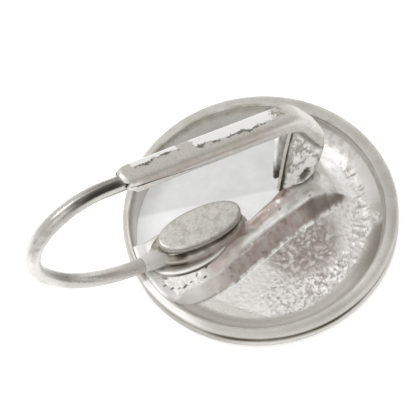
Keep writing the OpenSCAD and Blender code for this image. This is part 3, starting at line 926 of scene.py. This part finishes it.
def make_cap():
    """Arm, corner and tail: slices of the outline across the arm, with the channel cut out."""
    outline = lever_outline()
    ahead = np.roll(outline[:, :2], -1, 0) - np.roll(outline[:, :2], 1, 0)
    ahead /= np.linalg.norm(ahead, axis=1)[:, None]
    inward = np.stack([ahead[:, 1], -ahead[:, 0]], 1)  # the outline runs clockwise
    heel = (outline[:, 0] > 0.6) & (outline[:, 1] < 2.4)
    inward[heel] = (-0.78, 0.62)  # here the rounding slides along the lower edge
    turns = [math.sin(math.radians(d)) for d in (0, 15, 30, 45, 58, 70, 80, 90)]
    slices = [-(HALF - SHOULDER + SHOULDER * turn) for turn in turns[::-1]]
    slices += [-0.2, -0.08, 0.05, 0.18, 0.32, 0.46]
    slices += [HALF - FAR_EDGE + FAR_EDGE * turn for turn in turns]
    nose_r = 0.63
    rings = []
    for y in slices:
        rounding = SHOULDER if y < 0 else FAR_EDGE
        over = max(abs(y) - (HALF - rounding), 0)
        fall = rounding - math.sqrt(max(rounding ** 2 - over ** 2, 0))
        dome = (y / HALF) ** 2
        nose_back = nose_r - math.sqrt(max(nose_r ** 2 - max(abs(y) - 0.12, 0) ** 2, 0))
        ring = []
        for (a, b, share), inn in zip(outline, inward):
            shift = (fall + 0.05 * dome) * share
            along, above = a + inn[0] * shift, b + inn[1] * shift
            if b > ARM_BOTTOM + 0.1:
                near_nose = max(0, 1 - (a - NOSE) / 1.2)
                along += nose_back * near_nose * 0.95
                above -= 0.10 * near_nose * dome
            ring.append(at_lever(along, y, above))
        rings.append(ring)
    cap = ring_stack("cap", rings, 45, flip=True)
    roof = ARM_TOP - 0.22
    cut_away(cap, lever_prism("channel", [(NOSE - 1, ARM_BOTTOM - 1), (-2.5, ARM_BOTTOM - 1), (-2.5, roof),
                                          (NOSE - 1, roof)], -0.57, 0.57))
    paint(cap, frost=0.3 + 0.15 * smooth(0.5, 3, coordinates(cap)[:, 0]))
    return cap


def cheek_side(middle, foot):
    return [(-2.47, 5), middle, foot] + arc(0, 0, 1.04, -95, 8, 16) + [
        (1.15, 0.5), (1.12, 1.6), (1, 2.25), (0.75, 2.7), (0.2, 3.5), (-0.3, 4.1), (-1, 4.8)]


def make_leg():
    """Two cheeks and the web between them, melted together and lumpy outside."""
    leg = join("leg", [
        lever_prism("near_cheek", cheek_side((-2.3, 3), (-1.75, -1.04)), -0.66, -0.31),
        lever_prism("far_cheek", cheek_side((-2.3, 2.9), (-1.35, -1.04)), 0.31, 0.65),
        lever_prism("web", [(-2.47, 5.2), (-2.1, 4.7), (-0.6, 4.1), (0.8, 2.6), (0.8, 1.9), (1.1, 1.7),
                            (1.05, 2.4), (0.2, 3.7), (-1, 4.9), (-2.3, 5.6)], -0.6, 0.6)])
    remesh = leg.modifiers.new("remesh", "REMESH")
    remesh.mode = "VOXEL"
    remesh.voxel_size = 0.05
    remesh.use_smooth_shade = True
    soften = leg.modifiers.new("soften", "SMOOTH")
    soften.factor = 0.5
    soften.iterations = 4
    apply_modifiers(leg)

    # each point in the lever's own directions
    co = coordinates(leg)
    normal = np.array([v.normal[:] for v in leg.data.vertices])
    from_x, across, from_z = (co - (PIN_X, PLANE, PIN_Z)).T
    along = from_x * math.cos(LEAN) - from_z * math.sin(LEAN)
    above = from_x * math.sin(LEAN) + from_z * math.cos(LEAN)
    # the lumps are long across the view, so that they look round from the camera
    long_way, short_way = 0.84 * above - 0.54 * along, 0.84 * along + 0.54 * above
    blotch = fractal(short_way + 3, long_way * 0.5 + across, 3, 104, 4, 0.7)
    lumps = 0.14 * fractal(short_way + 3, long_way * 0.5, 2.2, 100, 4) - 0.03
    outside = smooth(0.2, 0.8, np.abs(normal[:, 1]))
    near_side = smooth(0.3, 0.8, -normal[:, 1]) * smooth(-0.1, -0.25, across)
    far_side = smooth(0.1, 0.3, across)
    # painted shade: the dark eye round the pin's head, and a painted shadow under the cap's uneven lower edge
    # above the cheek
    eye = np.hypot((along - 0.12) / 0.36, (above + 0.22) / 0.72) + 0.45 * blotch
    under_cap = np.interp(along, [-2.77, -1.77, -0.86, 0.17, 1.15], [5.1, 4.6, 3.75, 2.6, 1.95]) - above
    shadow_hem = smooth(0.4, 0.1, under_cap)
    front = along - np.interp(above, [-1.04, 3, 5], [-1.75, -2.3, -2.47])
    front_line = smooth(0.12, 0.02, front - 0.1 - 0.18 * smooth(2, -0.8, above)) * near_side
    front_strip = smooth(0.75, 0.35, front + 0.5 * blotch) * near_side
    rear_dark = smooth(0.78, 0.98, along) * smooth(2.2, 1.5, above) * near_side
    highlight_patch = spot(along, above, (-0.1, 1.75), (1.1, 0.75), 0.5) * near_side * smooth(-0.4, 0.05, blotch)
    # painted highlights on the lumps, the patch above the pin and the far cheek; painted shade in the front
    # gap, at the rear, under the cap and at the far cheek's foot
    bright = (1 - shadow_hem) * most(
        near_side * most(0.5 + 0.9 * smooth(-0.14, 0.1, blotch), highlight_patch) * (1 - 0.7 * front_strip),
        far_side * (0.7 + 0.5 * smooth(-0.2, 0.2, blotch)))
    tarnish = most(
        0.85 * smooth(1.35, 0.55, eye) * near_side, 0.3 * rear_dark, 0.97 * front_line,
        0.85 * far_side * smooth(0.9, -0.4, above), 0.35 * smooth(0.10, 0.02, under_cap) * near_side)
    shade = most(
        0.8 * near_side * smooth(-0.14, -0.4, blotch) * (1 - highlight_patch),
        front_strip * (0.55 + 0.25 * smooth(2.5, 0.5, above)), 0.45 * shadow_hem * near_side,
        0.7 * far_side * smooth(1.4, -0.2, above) * smooth(-1.1, -1.45, along))
    paint(leg, bright=unit(bright), frost=unit(bright * (1 - tarnish)), shade=unit(shade),
          tarnish=unit(tarnish))
    co = co + normal * (lumps * outside - 0.06 * smooth(1.1, 0.7, eye) * near_side)[:, None]
    leg.data.vertices.foreach_set("co", co.ravel())
    leg.data.update()
    leg.data.shade_smooth()
    return leg


lever = join("lever_channel", [make_cap(), make_leg()])
place(lever, lever_silver, "lever", "lever")


# Hinge pin

def make_hinge_pin():
    steps = [(0.66, PIN_R), (0.70, 0.245), (0.725, 0.2), (0.73, 0.12)]
    steps = [(-y, r) for y, r in steps[::-1]] + steps
    pin = ring_stack("hinge_pin_round", [
        [(PIN_X + r * math.cos(w), PLANE + y, PIN_Z + r * math.sin(w)) for w in full_turn(48)]
        for y, r in steps], 40)
    # painted shade darkens the pin
    paint(pin, tarnish=0.8)
    return pin


place(make_hinge_pin(), wire_silver, "button", "hinge_pin")


# Stage: pale paper, with painted shade where it is seen through the button

def paper_material():
    material, n, shader, where = new_material("paper")
    distance = n.add("ShaderNodeVectorMath", operation="LENGTH")
    n.link(where, distance.inputs[0])
    open_paper = n.ramp(distance.outputs["Value"], 0.0084, 0.0088)
    fibres = n.noise(where, 900, 4, 0.6)
    x, y = n.split(where)[:2]
    # inside the button a soft shadow is painted, and painted light makes the paper lighter towards the pad
    shadow = n.ramp(n.plus(n.times(x, 0.43), y, n.times(fibres, 0.5)), 2.65, 2.95)
    inner_glow = n.minus(n.plus(n.times(x, -0.012), 0.325), n.times(shadow, 0.13))
    glow = n.plus(n.times(open_paper, 0.44), n.times(n.minus(1, open_paper), inner_glow))
    # painted shade: the paper inside the button is darker
    inner = n.mix(fibres, (0.42, 0.43, 0.42), (0.66, 0.67, 0.66))
    n.link(n.mix(open_paper, inner, (0.92, 0.92, 0.92)), shader.inputs["Base Color"])
    n.link(glow, shader.inputs["Emission Strength"])
    set_inputs(shader, {"Roughness": 0.9, "Emission Color": (1, 1, 1, 1)})
    return material


PAPER_HALF, PAPER_Z = 0.5, -0.00002  # in metres
floor_mesh = bpy.data.meshes.new("floor")
corners = ((-1, -1), (1, -1), (1, 1), (-1, 1))
floor_mesh.from_pydata([(x * PAPER_HALF, y * PAPER_HALF, PAPER_Z) for x, y in corners], [], [(0, 1, 2, 3)])
floor_mesh.materials.append(paper_material())
floor = bpy.data.objects.new("floor", floor_mesh)
scene.collection.objects.link(floor)


# Light and sky

world = bpy.data.worlds.new("studio")
scene.world = world
world.use_nodes = True
n = Nodes(world.node_tree)
sky = n.add("ShaderNodeBackground")
n.link(sky.outputs[0], n.add("ShaderNodeOutputWorld").inputs[0])
direction = n.add("ShaderNodeTexCoord").outputs["Generated"]
level = (0.52, 0.512, 0.495)
# soft round patches: direction, degrees at which they begin to fade and end, and tone
for toward, inner, outer, tone in (
        ((0.15, 0.05, 0.98), 8, 34, (1.15, 1.15, 1.14)),  # overhead
        ((0.89, 0.45, 0.08), 10, 26, (1.3, 1.3, 1.28)),  # far right
        ((0, 0.97, 0.22), 12, 30, (0.95, 0.95, 0.94)),  # far left
        ((-0.85, 0.5, 0.04), 10, 24, (0.45, 0.44, 0.425)),  # left
        ((-0.8, -0.59, 0.05), 20, 38, (1, 1, 0.99)),  # near left
        ((0.42, -0.72, 0.56), 15, 27, (0.28, 0.265, 0.26))):  # near right, half way up
    dot = n.add("ShaderNodeVectorMath", operation="DOT_PRODUCT")
    n.link(direction, dot.inputs[0])
    dot.inputs[1].default_value = Vector(toward).normalized()
    full, none = math.cos(math.radians(inner)), math.cos(math.radians(outer))
    level = n.mix(n.ramp(dot.outputs["Value"], none, full), level, tone)
n.link(level, sky.inputs["Color"])

# two round soft lights that point at the earring
for name, at, power in (("key", (-0.12, 0.16, 0.34), 0.50), ("fill", (-0.16, -0.20, 0.30), 0.25)):
    data = bpy.data.lights.new(name, "AREA")
    data.shape = "DISK"
    data.size = 0.20
    data.energy = power
    light = bpy.data.objects.new(name, data)
    light.location = at
    light.rotation_euler = (-Vector(at)).to_track_quat("-Z", "Y").to_euler()
    scene.collection.objects.link(light)


# Camera, at the photo's angle

right_dir = (0.8281, -0.5545, -0.0820)
up_dir = (0.5171, 0.6993, 0.4936)
back_dir = (-0.2164, -0.4512, 0.8658)
spot_at = (-0.024001, -0.042456, 0.087377)
camera_data = bpy.data.cameras.new("camera")
camera_data.sensor_width = 36
camera_data.lens = 131.09
camera_data.clip_start = 0.005
camera = bpy.data.objects.new("camera", camera_data)
scene.collection.objects.link(camera)
rows = [row + (0,) for row in (right_dir, up_dir, back_dir)] + [spot_at + (1,)]
camera.matrix_world = Matrix(rows).transposed()
scene.camera = camera
scene.view_settings.view_transform = "Standard"
